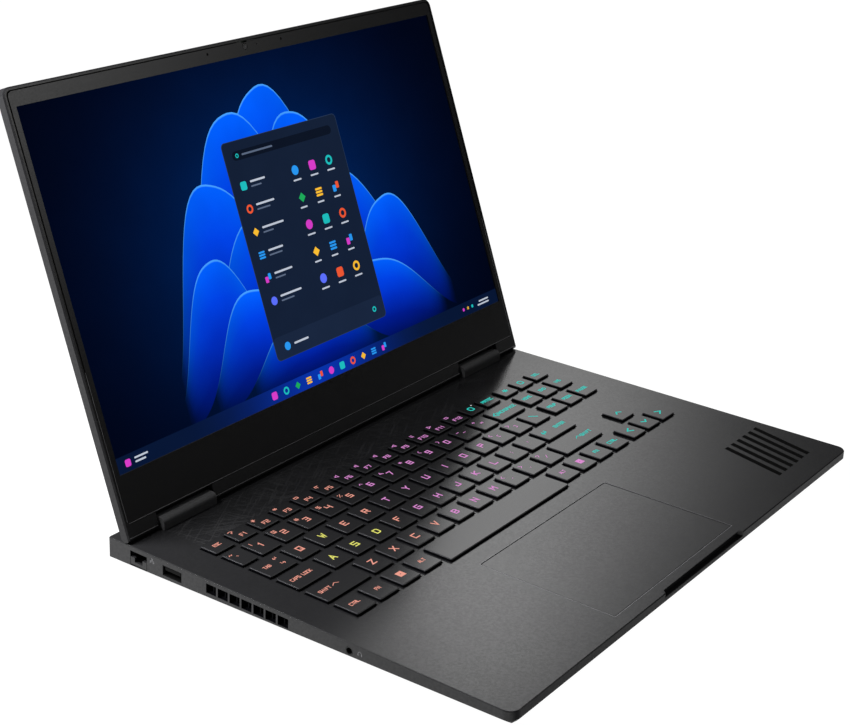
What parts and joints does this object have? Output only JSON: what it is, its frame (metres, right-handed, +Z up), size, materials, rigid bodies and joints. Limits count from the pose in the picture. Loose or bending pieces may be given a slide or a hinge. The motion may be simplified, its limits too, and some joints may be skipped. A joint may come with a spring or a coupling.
{
  "type": "laptop computer",
  "caption": "Clamshell laptop computer with a wide screen on a friction-hinged lid, a full keyboard with arrow keys, a clicking touchpad, side sockets and vented walls.",
  "frame": {"origin": "middle of the rear foot's underside, on the table", "axes": "+X to the user's right, +Y to the back, +Z up"},
  "size_m": [0.369, 0.3355, 0.2478],
  "materials": {
    "shell_metal": "satin, fine texture",
    "tray_plastic": "matt, fine texture",
    "bezel_plastic": "matt",
    "key_plastic": "satin",
    "screen_glass": "matt screen",
    "film_stack": "white sheet",
    "lens_glass": "polished",
    "pad_glass": "etched",
    "black_plastic": "matt",
    "inlay_plastic": "gloss",
    "board": "lacquered",
    "chip": "satin",
    "cell_wrap": "wrapped",
    "copper": "bright",
    "fin_metal": "bare",
    "steel": "brushed",
    "plate_metal": "black lacquer",
    "rubber": "matt"
  },
  "bodies": {
    "base": {"top_case": "shell_metal", "bottom_cover": "tray_plastic", "hinge_covers": "shell_metal", "hinge_brackets": "steel", "keyboard_plate": "plate_metal", "key_domes": "rubber", "touchpad_bracket": "plate_metal", "palm_rest_inlay": "inlay_plastic", "ethernet_jack": "black_plastic", "usb_ports": "steel", "audio_jack": "black_plastic", "dc_inlet": "black_plastic", "hdmi_port": "steel", "usb_c_ports": "steel", "battery": "cell_wrap", "mainboard": "board", "processor_chips": "chip", "memory_modules": "board", "ssd_module": "board", "wifi_card": "board", "io_boards": "board", "fan_housings": "black_plastic", "fin_stacks": "fin_metal", "heat_pipes": "copper", "speakers": "black_plastic", "rubber_feet": "rubber", "bottom_screws": "steel"},
    "lid": {"lid_cover": "shell_metal", "display_bezel": "bezel_plastic", "lcd_panel": "screen_glass", "backlight_unit": "film_stack", "webcam_module": "black_plastic", "webcam_lens": "lens_glass", "microphones": "steel", "hinge_shafts": "steel", "hinge_leaves": "steel"},
    "camera_shutter": {"camera_shutter": "black_plastic"},
    "touchpad": {"touchpad": "pad_glass"},
    "ethernet_jaw": {"ethernet_jaw": "bezel_plastic"},
    "fan_rotor_left": {"fan_rotor_left": "black_plastic"},
    "fan_rotor_right": {"fan_rotor_right": "black_plastic"},
    "key_esc": {"key_esc": "key_plastic"},
    "key_power": {"key_power": "key_plastic"},
    "key_backspace": {"key_backspace": "key_plastic"},
    "key_tab": {"key_tab": "key_plastic"},
    "key_caps_lock": {"key_caps_lock": "key_plastic"},
    "key_enter": {"key_enter": "key_plastic"},
    "key_shift_left": {"key_shift_left": "key_plastic"},
    "key_shift_right": {"key_shift_right": "key_plastic"},
    "key_space": {"key_space": "key_plastic"},
    "key_arrow_up": {"key_arrow_up": "key_plastic"},
    "key_arrow_left": {"key_arrow_left": "key_plastic"},
    "key_arrow_down": {"key_arrow_down": "key_plastic"},
    "key_arrow_right": {"key_arrow_right": "key_plastic"},
    "keys_function_row": {"keys_function_row": "key_plastic"},
    "keys_number_row": {"keys_number_row": "key_plastic"},
    "keys_upper_row": {"keys_upper_row": "key_plastic"},
    "keys_home_row": {"keys_home_row": "key_plastic"},
    "keys_lower_row": {"keys_lower_row": "key_plastic"},
    "keys_bottom_row": {"keys_bottom_row": "key_plastic"}
  },
  "joints": [
    {"name": "lid_hinge", "type": "hinge", "parent": "base", "child": "lid", "pos_m": [0, 0.009, 0.0194], "axis": [1, 0, 0], "range_deg": [-24.5, 110.5]},
    {"name": "camera_shutter_slide", "type": "slide", "parent": "lid", "child": "camera_shutter", "axis": [-1, 0, 0], "range_m": [0, 0.005]},
    {"name": "touchpad_click", "type": "hinge", "parent": "base", "child": "touchpad", "pos_m": [-0.0175, -0.14775, 0.01495], "axis": [1, 0, 0], "range_deg": [0, 0.35], "stiffness_Nm_per_rad": 20, "springref_deg": -0.11},
    {"name": "ethernet_jaw_drop", "type": "hinge", "parent": "base", "child": "ethernet_jaw", "pos_m": [-0.18375, -0.00075, 0.0062], "axis": [0, -1, 0], "range_deg": [0, 35], "stiffness_Nm_per_rad": 0.002, "springref_deg": -11.46},
    {"name": "fan_left_spin", "type": "hinge", "parent": "base", "child": "fan_rotor_left", "pos_m": [-0.1308, -0.0768, 0.0077], "axis": [0, 0, 1], "continuous": true},
    {"name": "fan_right_spin", "type": "hinge", "parent": "base", "child": "fan_rotor_right", "pos_m": [0.1308, -0.0768, 0.0077], "axis": [0, 0, 1], "continuous": true},
    {"name": "key_esc_press", "type": "slide", "parent": "base", "child": "key_esc", "axis": [0, 0, -1], "range_m": [0, 0.0014], "stiffness_N_per_m": 400, "springref_m": -0.0004, "deforming": ["key_domes"]},
    {"name": "key_power_press", "type": "slide", "parent": "base", "child": "key_power", "axis": [0, 0, -1], "range_m": [0, 0.0014], "stiffness_N_per_m": 400, "springref_m": -0.0004, "deforming": ["key_domes"]},
    {"name": "key_backspace_press", "type": "slide", "parent": "base", "child": "key_backspace", "axis": [0, 0, -1], "range_m": [0, 0.0014], "stiffness_N_per_m": 400, "springref_m": -0.0004, "deforming": ["key_domes"]},
    {"name": "key_tab_press", "type": "slide", "parent": "base", "child": "key_tab", "axis": [0, 0, -1], "range_m": [0, 0.0014], "stiffness_N_per_m": 400, "springref_m": -0.0004, "deforming": ["key_domes"]},
    {"name": "key_caps_lock_press", "type": "slide", "parent": "base", "child": "key_caps_lock", "axis": [0, 0, -1], "range_m": [0, 0.0014], "stiffness_N_per_m": 400, "springref_m": -0.0004, "deforming": ["key_domes"]},
    {"name": "key_enter_press", "type": "slide", "parent": "base", "child": "key_enter", "axis": [0, 0, -1], "range_m": [0, 0.0014], "stiffness_N_per_m": 400, "springref_m": -0.0004, "deforming": ["key_domes"]},
    {"name": "key_shift_left_press", "type": "slide", "parent": "base", "child": "key_shift_left", "axis": [0, 0, -1], "range_m": [0, 0.0014], "stiffness_N_per_m": 400, "springref_m": -0.0004, "deforming": ["key_domes"]},
    {"name": "key_shift_right_press", "type": "slide", "parent": "base", "child": "key_shift_right", "axis": [0, 0, -1], "range_m": [0, 0.0014], "stiffness_N_per_m": 400, "springref_m": -0.0004, "deforming": ["key_domes"]},
    {"name": "key_space_press", "type": "slide", "parent": "base", "child": "key_space", "axis": [0, 0, -1], "range_m": [0, 0.0014], "stiffness_N_per_m": 400, "springref_m": -0.0004, "deforming": ["key_domes"]},
    {"name": "key_arrow_up_press", "type": "slide", "parent": "base", "child": "key_arrow_up", "axis": [0, 0, -1], "range_m": [0, 0.0014], "stiffness_N_per_m": 400, "springref_m": -0.0004, "deforming": ["key_domes"]},
    {"name": "key_arrow_left_press", "type": "slide", "parent": "base", "child": "key_arrow_left", "axis": [0, 0, -1], "range_m": [0, 0.0014], "stiffness_N_per_m": 400, "springref_m": -0.0004, "deforming": ["key_domes"]},
    {"name": "key_arrow_down_press", "type": "slide", "parent": "base", "child": "key_arrow_down", "axis": [0, 0, -1], "range_m": [0, 0.0014], "stiffness_N_per_m": 400, "springref_m": -0.0004, "deforming": ["key_domes"]},
    {"name": "key_arrow_right_press", "type": "slide", "parent": "base", "child": "key_arrow_right", "axis": [0, 0, -1], "range_m": [0, 0.0014], "stiffness_N_per_m": 400, "springref_m": -0.0004, "deforming": ["key_domes"]},
    {"name": "keys_function_row_press", "type": "slide", "parent": "base", "child": "keys_function_row", "axis": [0, 0, -1], "range_m": [0, 0.0014], "stiffness_N_per_m": 6400, "springref_m": -0.0004, "deforming": ["key_domes"]},
    {"name": "keys_number_row_press", "type": "slide", "parent": "base", "child": "keys_number_row", "axis": [0, 0, -1], "range_m": [0, 0.0014], "stiffness_N_per_m": 6400, "springref_m": -0.0004, "deforming": ["key_domes"]},
    {"name": "keys_upper_row_press", "type": "slide", "parent": "base", "child": "keys_upper_row", "axis": [0, 0, -1], "range_m": [0, 0.0014], "stiffness_N_per_m": 6400, "springref_m": -0.0004, "deforming": ["key_domes"]},
    {"name": "keys_home_row_press", "type": "slide", "parent": "base", "child": "keys_home_row", "axis": [0, 0, -1], "range_m": [0, 0.0014], "stiffness_N_per_m": 4400, "springref_m": -0.0004, "deforming": ["key_domes"]},
    {"name": "keys_lower_row_press", "type": "slide", "parent": "base", "child": "keys_lower_row", "axis": [0, 0, -1], "range_m": [0, 0.0014], "stiffness_N_per_m": 4000, "springref_m": -0.0004, "deforming": ["key_domes"]},
    {"name": "keys_bottom_row_press", "type": "slide", "parent": "base", "child": "keys_bottom_row", "axis": [0, 0, -1], "range_m": [0, 0.0014], "stiffness_N_per_m": 3200, "springref_m": -0.0004, "deforming": ["key_domes"]}
  ]
}
